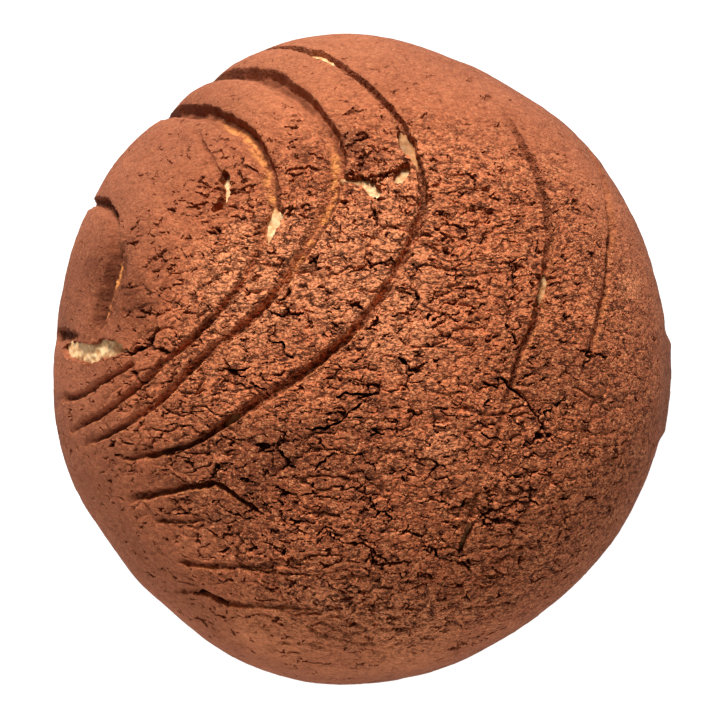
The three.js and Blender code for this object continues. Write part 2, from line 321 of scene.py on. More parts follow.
def lattice(cell, seed):
    """A fixed random number from 0 to 1 for each whole-number cell."""
    c = cell.astype(np.int64).astype(np.uint32)
    h = c[:, 0] * np.uint32(374761393) + c[:, 1] * np.uint32(668265263) + c[:, 2] * np.uint32(2246822519)
    h = h + np.uint32(seed * 40503 + 12345)
    h = (h ^ (h >> np.uint32(13))) * np.uint32(1274126177)
    h = (h ^ (h >> np.uint32(15))) * np.uint32(2246822519)
    return ((h ^ (h >> np.uint32(16))) / np.float32(4294967295)).astype(np.float32)


def noise(points, size, seed):
    """Smooth noise from -1 to 1 with lumps of the given size."""
    q = points / size
    base = np.floor(q)
    f = (q - base).astype(np.float32)
    f = f * f * (3 - 2 * f)
    total = np.zeros(len(points), np.float32)
    for corner in np.ndindex(2, 2, 2):
        weight = np.prod(np.where(np.array(corner) == 1, f, 1 - f), axis=1)
        total += weight * lattice(base + corner, seed)
    return 2 * total - 1


def layered(points, layers):
    """Sum of noises, each with its height, size and seed."""
    return sum(height * noise(points, size, seed) for height, size, seed in layers)


def noise_vector(points, size, seed):
    """Noise of its own for each axis."""
    return np.stack([noise(points, size, seed + axis) for axis in range(3)], axis=1)


def plates(points, size, seed):
    """Split space into uneven plates: distance to the nearest edge, and a random number for each plate."""
    q = points / size
    base = np.floor(q)
    around = [np.array(offset) - 1 for offset in np.ndindex(3, 3, 3)]

    def centre(offset):
        cell = base + offset
        return cell + np.stack([lattice(cell, seed + axis) for axis in range(3)], axis=1)

    near = np.full(len(q), np.inf, np.float32)
    own = np.zeros_like(q)
    for offset in around:
        c = centre(offset)
        d = ((c - q) ** 2).sum(axis=1)
        closer = d < near
        near[closer] = d[closer]
        own[closer] = c[closer]
    edge = np.full(len(q), np.inf, np.float32)
    for offset in around:
        c = centre(offset)
        across = c - own
        gap = np.sqrt((across**2).sum(axis=1))
        other = gap > 1e-5
        reach = ((0.5 * (c + own) - q) * across).sum(axis=1)[other] / gap[other]
        edge[other] = np.minimum(edge[other], reach)
    return edge * size, lattice(np.floor(own * 1024), seed + 5)


# The dome


def dome_profile():
    """Profile from the top to the lip in fine steps: length along it, radius, height, outward normal."""
    angle = np.linspace(0, np.pi / 2, 1600)
    share = np.linspace(0, 1, 200)[1:]
    radius = np.r_[GIRTH_RADIUS * np.sin(angle) ** (2 / DOME_FULLNESS), GIRTH_RADIUS - SKIRT_TUCK * share**2]
    height = np.r_[GIRTH_HEIGHT + DOME_RISE * np.cos(angle), GIRTH_HEIGHT - SKIRT_DROP * share]
    length = np.r_[0, np.cumsum(np.hypot(np.diff(radius), np.diff(height)))]
    along = np.stack([np.gradient(radius, length), np.gradient(height, length)])
    along /= np.hypot(*along)
    return length, radius, height, -along[1], along[0]


LENGTH, RADIUS, HEIGHT, NORMAL_OUT, NORMAL_UP = dome_profile()
DISC_RADIUS = LENGTH[-1]


def outline_scale(bearing):
    """Radius of the uneven outline at a bearing, as a share of the round one."""
    return 1 + sum(share * np.cos(lobes * (bearing - math.radians(at))) for lobes, share, at in OUTLINE_WAVES)


def on_dome(disc, inset=0.0):
    """Places on the dome, and outward normals, for points of the flat disc of paste."""
    along = np.hypot(disc[:, 0], disc[:, 1])
    bearing = np.arctan2(disc[:, 1], disc[:, 0])
    out = np.interp(along, LENGTH, NORMAL_OUT)
    up = np.interp(along, LENGTH, NORMAL_UP)
    radius = (np.interp(along, LENGTH, RADIUS) - inset * out) * outline_scale(bearing)
    height = np.interp(along, LENGTH, HEIGHT) - inset * up
    turn = np.stack([np.cos(bearing), np.sin(bearing)], axis=1)
    place = np.column_stack([radius[:, None] * turn, height])
    return place, np.column_stack([out[:, None] * turn, up])


def hang_lip(place):
    """The skirt's uneven hang and its flares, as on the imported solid."""
    bearing = np.arctan2(place[:, 1], place[:, 0])
    low = np.clip((GIRTH_HEIGHT - place[:, 2]) / SKIRT_DROP, 0, 1)
    reach = np.zeros(len(place))
    for at, half_width, most in LIP_FLARES:
        turn = np.abs((np.degrees(bearing) - at + 180) % 360 - 180)
        reach += most * (1 - smoothstep(FLARE_CREST * half_width, half_width, turn))
    deepest = sum(drop for lobes, drop, at in LIP_WAVES)
    drop = deepest + sum(drop * np.cos(lobes * (bearing - math.radians(at))) for lobes, drop, at in LIP_WAVES)
    hung = place.copy()
    hung[:, 0] += low * reach * np.cos(bearing)
    hung[:, 1] += low * reach * np.sin(bearing)
    hung[:, 2] -= low * drop
    return hung


# Lines on the dome


def smooth_line(points, step):
    """A smooth curve through a few disc points, in even short steps."""
    p = np.array(points, float)
    before = np.vstack([p[:1], p[:-1]])
    after = np.vstack([p[1:], p[-1:]])
    slope = (after - before) / 2
    t = np.linspace(0, 1, 24, endpoint=False)[:, None]
    pieces = []
    for i in range(len(p) - 1):
        start, end = p[i], p[i + 1]
        bend = 3 * (end - start) - 2 * slope[i] - slope[i + 1]
        turn = 2 * (start - end) + slope[i] + slope[i + 1]
        pieces.append(start + slope[i] * t + bend * t**2 + turn * t**3)
    fine = np.vstack([*pieces, p[-1:]])
    length = np.hypot(*np.diff(fine, axis=0).T).sum()
    return bent_line(fine, max(4, round(length / step)))


def bent_line(points, count):
    """A line through a few disc points, evenly filled in."""
    p = np.array(points, float)
    s = np.r_[0, np.cumsum(np.hypot(*np.diff(p, axis=0).T))]
    even = np.linspace(0, s[-1], count)
    return np.stack([np.interp(even, s, p[:, 0]), np.interp(even, s, p[:, 1])], axis=1)


def near_line(points, normals, disc_line, reach):
    """Points within reach of a line laid on the dome: which, signed distance, and share along the line."""
    line, _ = on_dome(disc_line)
    low = line.min(axis=0) - reach
    high = line.max(axis=0) + reach
    index = np.flatnonzero(((points > low) & (points < high)).all(axis=1))
    p = points[index].astype(np.float32)
    best = np.full(len(p), np.inf, np.float32)
    share = np.zeros(len(p), np.float32)
    side = np.zeros(len(p), np.float32)
    steps = len(line) - 1
    for i in range(steps):
        a = line[i].astype(np.float32)
        ab = (line[i + 1] - line[i]).astype(np.float32)
        rel = p - a
        t = np.clip(rel @ ab / (ab @ ab), 0, 1)
        off = rel - t[:, None] * ab
        d = (off**2).sum(axis=1)
        closer = d < best
        best[closer] = d[closer]
        share[closer] = (i + t[closer]) / steps
        side[closer] = (np.cross(ab, off[closer]) * normals[index[closer]]).sum(axis=1)
    distance = np.sqrt(best) * np.where(side < 0, -1, 1)
    keep = np.abs(distance) < reach
    return index[keep], distance[keep], share[keep]


# The surface of the paste


def score_relief(place, normal, wobble):
    """Scored lines: depth, dip beside them, painted shade, golden floor, painted highlight, brink of their
    wall.
    """
    scored, shoulder, shade, gold, brink = np.zeros((5, len(place)))
    broken = smoothstep(-0.5, 0.2, noise(place, 2.6, 111))
    uneven = 1 + 0.25 * noise(place, 3.5, 112)
    for score in SCORES:
        line = smooth_line(score["points"], SCORE_STEP)
        index, distance, share = near_line(place, normal, line, 3 * SHOULDER_WIDTH)
        at, widths, depths = zip(*score["stops"])
        ends = smoothstep(-SCORE_RUNOUT / 2, SCORE_RUNOUT, np.minimum(share, 1 - share))
        depth = np.interp(share, at, depths) * ends * uneven[index]
        width = np.interp(share, at, widths)
        step = smoothstep(SLIT_WIDTH, STEP_WIDTH, width)
        heading = np.diff(line, axis=0)
        heading = heading[:, 0] / np.hypot(*heading.T)
        leftward = smoothstep(0.4, -0.3, np.interp(share, np.linspace(0, 1, len(heading)), heading))
        across = (distance + wobble[index]) / (width / 2)
        wall = smoothstep(0.6, 0.92, -across)
        slope = smoothstep(0.4 - 0.3 * step, 1.2 + 0.4 * step + 0.5 * (1 - leftward), across)
        if "apron" in score:
            turned = smoothstep(0.6, 0.2, leftward)
            rising = smoothstep(0.1, 1.0, -distance / score["apron"])
            wall += turned * (rising - wall)
            slope += turned * (smoothstep(0.1, 1.1, across) - slope)
        scored[index] = np.maximum(scored[index], depth * (1 - wall) * (1 - slope))
        dip = step * np.clip(depth / 2, 0, 1) * np.exp(-((distance / SHOULDER_WIDTH) ** 2))
        shoulder[index] = np.maximum(shoulder[index], dip)
        # Painted shade: the outer wall where a line heads left, which faces away from the key light, and a
        # thin broken line along the floor
        dark_wall = smoothstep(1.25, 0.9, -across) * smoothstep(0.5 - 0.3 * step, -0.1, across)
        dark_floor = smoothstep(0.5, 0.2, np.abs(across + 0.1)) * broken[index]
        dark = 0.45 * leftward * dark_wall + (1 - 0.5 * leftward) * dark_floor
        if "apron" in score:
            # Painted shade along the foot of the apron's wall and, weaker, on its flank
            foot = smoothstep(0.6, 0.3, np.abs(across + 0.05)) * (0.7 + 0.3 * broken[index])
            flank = smoothstep(0.1, 0.5, across) * smoothstep(1.5, 1.0, across)
            dark += turned * (np.maximum(foot, 0.3 * flank) - dark)
        shade[index] = np.maximum(shade[index], np.clip(depth / 1.6, 0, 1) * dark)
        brink[index] = np.maximum(brink[index], (np.abs(across + 0.6) < 0.55) & (depth > 0.5))
        # Painted highlight in the gold colour along the lit edge of the outer wall, where a line heads right
        painted_highlight_edge = smoothstep(0.35, 0.1, np.abs(across + 0.8)) * (1 - leftward) * np.clip(depth, 0, 1)
        gold[index] = np.maximum(gold[index], 0.3 * painted_highlight_edge)
        if "gold" in score:
            first, last, reach = score["gold"]
            span = smoothstep(first - 0.05, first + 0.03, share) * smoothstep(last + 0.05, last - 0.03, share)
            side = -across - 0.45 if "apron" in score else across
            strip = smoothstep(-0.25, 0.05, side) * smoothstep(reach, 0.5 * reach, side)
            gold[index] = np.maximum(gold[index], span * strip)
    return scored, shoulder, shade, gold, brink


def crack_relief(place, normal, wobble, quiet):
    """Depth of the gaps between plates and of the longest fissures; and the lift of plates and crumbs."""
    cracked = np.zeros(len(place))
    lift = np.zeros(len(place))
    still = np.minimum(quiet, 1)
    ragged = 0.3 * noise_vector(place, 1.0, 121) + 0.2 * noise_vector(place, 0.48, 124)
    for craze in CRAZES:
        size = craze["plate"]
        seed = craze["seed"]
        bent = place * PLATE_STRETCH + ragged + 0.16 * size * noise_vector(place, 0.6 * size, seed)
        edge, plate = plates(bent, size, seed)
        come_and_go = noise(place * PLATE_STRETCH, 0.45 * size, seed + 9) + 0.3 * noise(place, 1.2, seed + 10)
        parted = smoothstep(0.0, 0.5, come_and_go - craze["seldom"] - 0.4 * quiet)
        half = 0.5 * craze["gap"] * parted * (0.75 + 0.5 * noise(place, 0.8, seed + 12))
        gap = 1 - smoothstep(0.5, 1.0, edge / np.maximum(half, 1e-3))
        depth = craze["depth"] * np.sqrt(parted) * (1 - 0.6 * still)
        cracked = np.maximum(cracked, gap * depth)
        lift += craze["lift"] * (plate - 0.5) * (1 - 0.5 * still)
    for crumb in CRUMBS:
        size = crumb["size"]
        seed = crumb["seed"]
        layers = [(1, size, seed), (0.5, size / 2, seed + 7)]
        valley = np.abs(layered(place * PLATE_STRETCH + ragged, layers))
        opened = smoothstep(-0.4, 0.3, noise(place, 1.5 * size, seed + 3))
        lift -= crumb["depth"] * smoothstep(0.2, 0.0, valley) * opened * (1 - still)
    for line, width in FISSURES:
        index, distance, share = near_line(place, normal, bent_line(line, LINE_POINTS), FISSURE_REACH)
        taper = np.sqrt(np.clip(np.sin(np.pi * share), 0, 1))
        swell = 0.65 + layered(place[index], FISSURE_SWELL)
        half = 0.4 * width * taper * swell
        offset = 1.2 * wobble[index] + layered(place[index], FISSURE_STRAY)
        gap = 1 - smoothstep(0.4, 1.0, np.abs(distance + offset) / np.maximum(half, 1e-3))
        cracked[index] = np.maximum(cracked[index], gap * FISSURE_DEPTH)
    return cracked, lift


def away_from(disc, at):
    """Distance of disc points from a given point of the disc."""
    return np.hypot(disc[:, 0] - at[0], disc[:, 1] - at[1])


def paste_relief(disc, place, normal):
    """Height of the paste's surface over the dome, with the masks that its material reads."""
    wobble = layered(place, LINE_WOBBLE)
    lumps = layered(place, PASTE_LUMPS)
    scored, shoulder, shade, gold, brink = score_relief(place, normal, wobble)
    calm = smoothstep(*CRUMBLY_REACH, away_from(disc, CRUMBLY_CENTRE))
    whole = smoothstep(*CRACKED_REACH, away_from(disc, CRACKED_CENTRE))
    quiet = whole + 0.6 * smoothstep(0.3, 1.2, scored)
    cracked, lift = crack_relief(place, normal, wobble, quiet)
    torn, _, _ = tear_mask(place, normal)

    rough = smoothstep(0.2, 1.0, scored) * layered(place, SCORE_ROUGHNESS)
    relief = lumps + lift + rough - SHOULDER_DROP * shoulder - np.maximum(scored, cracked)
    floor = -(PASTE_THICKNESS - TEAR_FLOOR)
    relief = np.maximum(relief * (1 - torn) + floor * torn, floor)
    # Painted light on the top, fading to painted shade down the sides
    painted_top_light = smoothstep(*LIGHT_REACH, away_from(disc, LIGHT_CENTRE))
    # Patches of painted light and shade, with a few real dark spots and dusty patches
    tone = np.zeros(len(place))
    for at, radius, strength in TONE_AND_PAINTED_LIGHT_PATCHES:
        distance = away_from(disc, at) + 0.35 * radius * noise(place, 0.6 * radius, 109)
        tone += strength * (1 - smoothstep(0.3, 1.0, distance / radius))
    masks = dict(
        # Painted shade in the cracks and fissures, darker where they are deeper
        painted_crack_shade=np.clip(cracked / 1.4, 0, 1),
        painted_groove_shade=shade,
        gold=gold,
        calm=calm,
        painted_top_light=painted_top_light,
        tone=tone,
    )
    return relief, masks, brink


def tear_mask(place, normal):
    """1 inside a tear of the paste and 0 outside, with a ragged edge; and the bread's bulge and paleness."""
    torn, bulge, pale = np.zeros((3, len(place)))
    ragged = layered(place, TEAR_RAGGED)
    frayed = layered(place, TEAR_FRAYED)
    for points, width, rise, paleness in TEARS:
        index, distance, share = near_line(place, normal, bent_line(points, LINE_POINTS), width + TEAR_REACH)
        half = 0.5 * width * np.clip(1 - np.abs(2 * share - 1) ** 2.5, 0, 1) ** 0.7
        inside = half - np.abs(distance) + ragged[index] * min(0.8, width / 3)
        open_here = smoothstep(-0.12, 0.1, inside + frayed[index]) * (half > 0.05)
        torn[index] = np.maximum(torn[index], open_here)
        bulge[index] = np.maximum(bulge[index], rise * smoothstep(-1.2, -0.2, inside))
        pale[index] = np.maximum(pale[index], paleness * smoothstep(-0.6, 0.4, inside))
    return torn, bulge, pale


# Meshes


def ring_disc(rings):
    """A disc of unit radius from rings of points, six more in each ring: points and triangles."""
    points = [np.zeros((1, 2))]
    triangles = []
    start = 0
    for k in range(1, rings + 1):
        turn = 2 * np.pi * np.arange(6 * k) / (6 * k)
        points.append(k / rings * np.stack([np.cos(turn), np.sin(turn)], axis=1))
        after = start + max(1, 6 * (k - 1))
        side = np.repeat(np.arange(6), k)
        step = np.tile(np.arange(k), 6)
        inner = start + (side * (k - 1) + step) % max(1, 6 * (k - 1))
        outer = after + (side * k + step) % (6 * k)
        outer_next = after + (side * k + step + 1) % (6 * k)
        triangles.append(np.stack([inner, outer, outer_next], axis=1))
        short = step < k - 1
        inner_next = start + (side * (k - 1) + step + 1) % max(1, 6 * (k - 1))
        triangles.append(np.stack([inner, outer_next, inner_next], axis=1)[short])
        start = after
    return np.concatenate(points), np.concatenate(triangles)


def band(first, second, count):
    """Triangles between two rings of equal count, by the index of their first points."""
    i = np.arange(count)
    j = (i + 1) % count
    return np.concatenate([
        np.stack([first + i, second + i, second + j], axis=1),
        np.stack([first + i, second + j, first + j], axis=1),
    ])


def stitch(first, first_count, second, second_count):
    """Triangles between two rings of different count that start at the same bearing."""
    triangles = []
    i = j = 0
    while i < first_count or j < second_count:
        if j == second_count or (i < first_count and (i + 1) * second_count <= (j + 1) * first_count):
            triangles.append((first + i, second + j % second_count, first + (i + 1) % first_count))
            i += 1
        else:
            triangles.append((first + i % first_count, second + j, second + (j + 1) % second_count))
            j += 1
    return np.array(triangles)


def make_mesh(name, points, triangles, masks):
    """A piece from points in millimetres, with a number for each point under each mask's name."""
    mesh = bpy.data.meshes.new(name)
    mesh.vertices.add(len(points))
    mesh.vertices.foreach_set("co", (points * MM).astype(np.float32).ravel())
    mesh.loops.add(triangles.size)
    mesh.loops.foreach_set("vertex_index", triangles.astype(np.int32).ravel())
    mesh.polygons.add(len(triangles))
    mesh.polygons.foreach_set("loop_start", np.arange(0, triangles.size, 3, dtype=np.int32))
    for mask, values in masks.items():
        attribute = mesh.attributes.new(mask, "FLOAT", "POINT")
        attribute.data.foreach_set("value", values.astype(np.float32))
    mesh.update(calc_edges=True)
    mesh.validate()
    piece = bpy.data.objects.new(name, mesh)
    bpy.context.scene.collection.objects.link(piece)
    return piece


def reduce_mesh(piece, triangles, kept=()):
    """Fewer triangles, kept where the surface bends and at the points given."""
    modifier = piece.modifiers.new("reduce", "DECIMATE")
    modifier.ratio = triangles / len(piece.data.polygons)
    if len(kept):
        group = piece.vertex_groups.new(name="kept")
        group.add(kept.tolist(), 1.0, "REPLACE")
        modifier.vertex_group = group.name
        modifier.invert_vertex_group = True
    shown = piece.evaluated_get(bpy.context.evaluated_depsgraph_get())
    reduced = bpy.data.meshes.new_from_object(shown)
    piece.modifiers.clear()
    piece.vertex_groups.clear()
    piece.data = reduced


def make_topping():
    """The paste: its outside, a rounded lip, and the smooth inside that lies on the bread."""
    rings = round(DISC_RADIUS / FINE_SPACING)
    disc, triangles = ring_disc(rings)
    disc = disc * DISC_RADIUS
    place, normal = on_dome(disc)
    relief, masks, brink = paste_relief(disc, place, normal)
    outside = place + relief[:, None] * normal
    edge_count = 6 * rings
    edge = disc[-edge_count:]

    lip_steps = 7
    lip = []
    lip_triangles = []
    last = len(outside) - edge_count
    middle, out = on_dome(edge, PASTE_THICKNESS / 2)
    down = np.column_stack([-out[:, 2:3] * out[:, :2] / np.linalg.norm(out[:, :2], axis=1, keepdims=True),
                            np.linalg.norm(out[:, :2], axis=1)])
    radius = np.linalg.norm(outside[-edge_count:] - middle, axis=1)
    for i in range(1, lip_steps):
        turn = np.pi * i / lip_steps
        size = radius * (1 - i / lip_steps) + PASTE_THICKNESS / 2 * i / lip_steps
        ring = middle + size[:, None] * (math.cos(turn) * out - math.sin(turn) * down)
        first = len(outside) + len(lip) * edge_count
        lip_triangles.append(band(last, first, edge_count))
        lip.append(ring)
        last = first

    inner_rings = 40
    inner_disc, inner_triangles = ring_disc(inner_rings)
    inside, _ = on_dome(inner_disc * DISC_RADIUS, PASTE_THICKNESS)
    inner_start = len(outside) + len(lip) * edge_count
    inner_edge = inner_start + len(inside) - 6 * inner_rings
    points = np.concatenate([outside, *lip, inside])
    all_triangles = np.concatenate([
        triangles,
        *lip_triangles,
        stitch(last, edge_count, inner_edge, 6 * inner_rings),
        inner_triangles[:, ::-1] + inner_start,
    ])
    rest = len(points) - len(outside)
    hidden = dict.fromkeys(masks, 0.0) | dict(calm=1.0, painted_top_light=1.0)
    masks = {name: np.r_[values, np.full(rest, hidden[name])] for name, values in masks.items()}
    piece = make_mesh("cocoa_topping", hang_lip(points), all_triangles, masks)
    reduce_mesh(piece, TOPPING_TRIANGLES, np.flatnonzero(brink))
    piece.data.shade_smooth()
    piece.data.set_sharp_from_angle(angle=math.radians(SHARP_ANGLE))
    return piece


def make_bun():
    """The bread: a dome that bulges into the tears, a waist, a rounded foot and a flat base."""
    rings = 220
    disc, triangles = ring_disc(rings)
    disc = disc * DISC_RADIUS
    place, normal = on_dome(disc)
    _, bulge, pale = tear_mask(place, normal)
    crumb = layered(place, BREAD_CRUMB)
    under, _ = on_dome(disc, PASTE_THICKNESS + JOIN_GAP)
    rise = smoothstep(0, 0.8, bulge) * (bulge + JOIN_GAP + crumb)
    dome = under + rise[:, None] * normal
    count = 6 * rings
    bearing = np.arctan2(disc[-count:, 1], disc[-count:, 0])
    scale = outline_scale(bearing)
    side = np.hypot(under[-count:, 0], under[-count:, 1]) / scale

    waist = np.linspace(0, 1, 6)[:, None]
    foot = np.linspace(0, np.pi / 2, 9)[1:, None]
    radii = np.concatenate([
        side + (FOOT_RADIUS - side) * smoothstep(0, 1, waist),
        np.repeat(BASE_RADIUS + (FOOT_RADIUS - BASE_RADIUS) * np.cos(foot), count, axis=1),
    ])
    heights = np.concatenate([
        WAIST_HEIGHT + (FOOT_HEIGHT - WAIST_HEIGHT) * waist,
        FOOT_HEIGHT * (1 - np.sin(foot)),
    ])
    turn = np.stack([np.cos(bearing), np.sin(bearing)], axis=1)
    lower = []
    for i, (radius, height) in enumerate(zip(radii, heights)):
        ring = np.column_stack([(radius * scale)[:, None] * turn, np.full(count, height[0])])
        fade = math.sin(math.pi * i / (len(radii) - 1))
        ring[:, :2] += fade * layered(ring, BREAD_SIDE)[:, None] * turn
        lower.append(ring)
    lower_triangles = []
    last = len(dome) - count
    for i in range(len(lower)):
        first = len(dome) + i * count
        lower_triangles.append(band(last, first, count))
        last = first

    base_rings = 20
    base_disc, base_triangles = ring_disc(base_rings)
    base_bearing = np.arctan2(base_disc[:, 1], base_disc[:, 0])
    base_radius = BASE_SHARE * BASE_RADIUS * outline_scale(base_bearing)
    base = np.column_stack([base_disc * base_radius[:, None], np.zeros(len(base_disc))])
    base_start = len(dome) + len(lower) * count
    base_edge = base_start + len(base) - 6 * base_rings
    points = np.concatenate([dome, *lower, base])
    all_triangles = np.concatenate([
        triangles,
        *lower_triangles,
        stitch(last, count, base_edge, 6 * base_rings),
        base_triangles[:, ::-1] + base_start,
    ])
    pale = np.r_[pale, np.zeros(len(points) - len(dome))]
    piece = make_mesh("sweet_bun", points, all_triangles, dict(pale=pale))
    reduce_mesh(piece, BUN_TRIANGLES)
    piece.data.shade_smooth()
    return piece


# Materials


def srgb(color):
    """A colour as seen on a screen, each part from 0 to 255, turned into light."""
    shares = [part / 255 for part in color]
    linear = [s / 12.92 if s <= 0.04045 else ((s + 0.055) / 1.055) ** 2.4 for s in shares]
    return (*linear, 1.0)


def new_material(name):
    material = bpy.data.materials.new(name)
    material.use_nodes = True
    material.node_tree.nodes.clear()
    return material


class Graph:
    """Short names for building a node tree."""

    def __init__(self, tree):
        self.tree = tree

    def node(self, kind, **settings):
        made = self.tree.nodes.new(kind)
        for key, value in settings.items():
            setattr(made, key, value)
        return made

    def link(self, source, target):
        self.tree.links.new(source, target)

    def put(self, target, value):
        """Link an output to an input, or set the input to a number or colour."""
        if isinstance(value, bpy.types.NodeSocket):
            self.link(value, target)
        else:
            target.default_value = value

    def millimetres(self):
        """The piece's own coordinates, in millimetres."""
        place = self.node("ShaderNodeTexCoord")
        scale = self.node("ShaderNodeVectorMath", operation="SCALE")
        self.link(place.outputs["Object"], scale.inputs[0])
        scale.inputs["Scale"].default_value = 1 / MM
        return scale.outputs[0]

    def height(self, place):
        parts = self.node("ShaderNodeSeparateXYZ")
        self.link(place, parts.inputs[0])
        return parts.outputs["Z"]

    def stretch(self, place, factors):
        made = self.node("ShaderNodeVectorMath", operation="MULTIPLY")
        self.link(place, made.inputs[0])
        made.inputs[1].default_value = factors
        return made.outputs[0]

    def mask(self, name):
        return self.node("ShaderNodeAttribute", attribute_name=name).outputs["Fac"]

    def noise(self, place, size, detail=2.0, roughness=0.5):
        made = self.node("ShaderNodeTexNoise")
        self.link(place, made.inputs["Vector"])
        made.inputs["Scale"].default_value = 1 / size
        made.inputs["Detail"].default_value = detail
        made.inputs["Roughness"].default_value = roughness
        return made.outputs["Fac"]

    def warp(self, place, size, reach):
        """Coordinates pushed about by noise, for ragged lines."""
        made = self.node("ShaderNodeTexNoise")
        self.link(place, made.inputs["Vector"])
        made.inputs["Scale"].default_value = 1 / size
        centred = self.node("ShaderNodeVectorMath", operation="SUBTRACT")
        self.link(made.outputs["Color"], centred.inputs[0])
        centred.inputs[1].default_value = (0.5, 0.5, 0.5)
        moved = self.node("ShaderNodeVectorMath", operation="MULTIPLY_ADD")
        self.link(centred.outputs[0], moved.inputs[0])
        moved.inputs[1].default_value = (2 * reach,) * 3
        self.link(place, moved.inputs[2])
        return moved.outputs[0]

    def cells(self, place, size):
        """Small uneven cells: distance from a cell's middle, and two random numbers for each cell."""
        made = self.node("ShaderNodeTexVoronoi")
        self.link(place, made.inputs["Vector"])
        made.inputs["Scale"].default_value = 1 / size
        parts = self.node("ShaderNodeSeparateColor")
        self.link(made.outputs["Color"], parts.inputs[0])
        return made.outputs["Distance"], parts.outputs[0], parts.outputs[1]

    def ramp(self, value, *stops):
        """Change smoothly from one number to another while the value goes from one to another."""
        made = self.node("ShaderNodeMapRange", interpolation_type="SMOOTHSTEP")
        self.link(value, made.inputs["Value"])
        for socket, number in zip(("From Min", "From Max", "To Min", "To Max"), stops):
            made.inputs[socket].default_value = number
        return made.outputs["Result"]

    def math(self, operation, a, b=0.0):
        made = self.node("ShaderNodeMath", operation=operation)
        self.put(made.inputs[0], a)
        self.put(made.inputs[1], b)
        return made.outputs[0]

    def plus(self, a, b):
        return self.math("ADD", a, b)

    def minus(self, a, b):
        return self.math("SUBTRACT", a, b)

    def times(self, a, b):
        return self.math("MULTIPLY", a, b)

    def mix(self, share, a, b):
        made = self.node("ShaderNodeMix", data_type="RGBA")
        self.put(made.inputs["Factor"], share)
        self.put(made.inputs["A"], a)
        self.put(made.inputs["B"], b)
        return made.outputs["Result"]

    def blotches(self, share, colors):
        first, second = colors
        return self.mix(share, srgb(first), srgb(second))

    def tint(self, color, share, screen_color):
        return self.mix(share, color, srgb(screen_color))

    def bump(self, height, distance, strength):
        made = self.node("ShaderNodeBump")
        self.put(made.inputs["Strength"], strength)
        made.inputs["Distance"].default_value = distance * MM
        self.link(height, made.inputs["Height"])
        return made.outputs["Normal"]

    def surface(self, color, normal, roughness, **constants):
        shader = self.node("ShaderNodeBsdfPrincipled")
        self.link(color, shader.inputs["Base Color"])
        self.link(normal, shader.inputs["Normal"])
        shader.inputs["Roughness"].default_value = roughness
        for name, value in constants.items():
            shader.inputs[name.replace("_", " ")].default_value = value
        output = self.node("ShaderNodeOutputMaterial")
        self.link(shader.outputs["BSDF"], output.inputs["Surface"])


def creases(g, place, size, width, rarely):
    """Ragged creases between crumbs of one size: 1 in an open crease, and the rounded height of a crumb."""
    ragged = g.math("ABSOLUTE", g.minus(g.noise(place, size, 3, 0.6), 0.5))
    opened = g.ramp(g.noise(place, 0.7 * size, 1), rarely, rarely + 0.14, 0.0, 1.0)
    line = g.times(g.ramp(ragged, 0.4 * width / size, 0.15 * width / size, 0.0, 1.0), opened)
    return line, g.ramp(ragged, 0.0, 0.12, 0.0, 1.0)


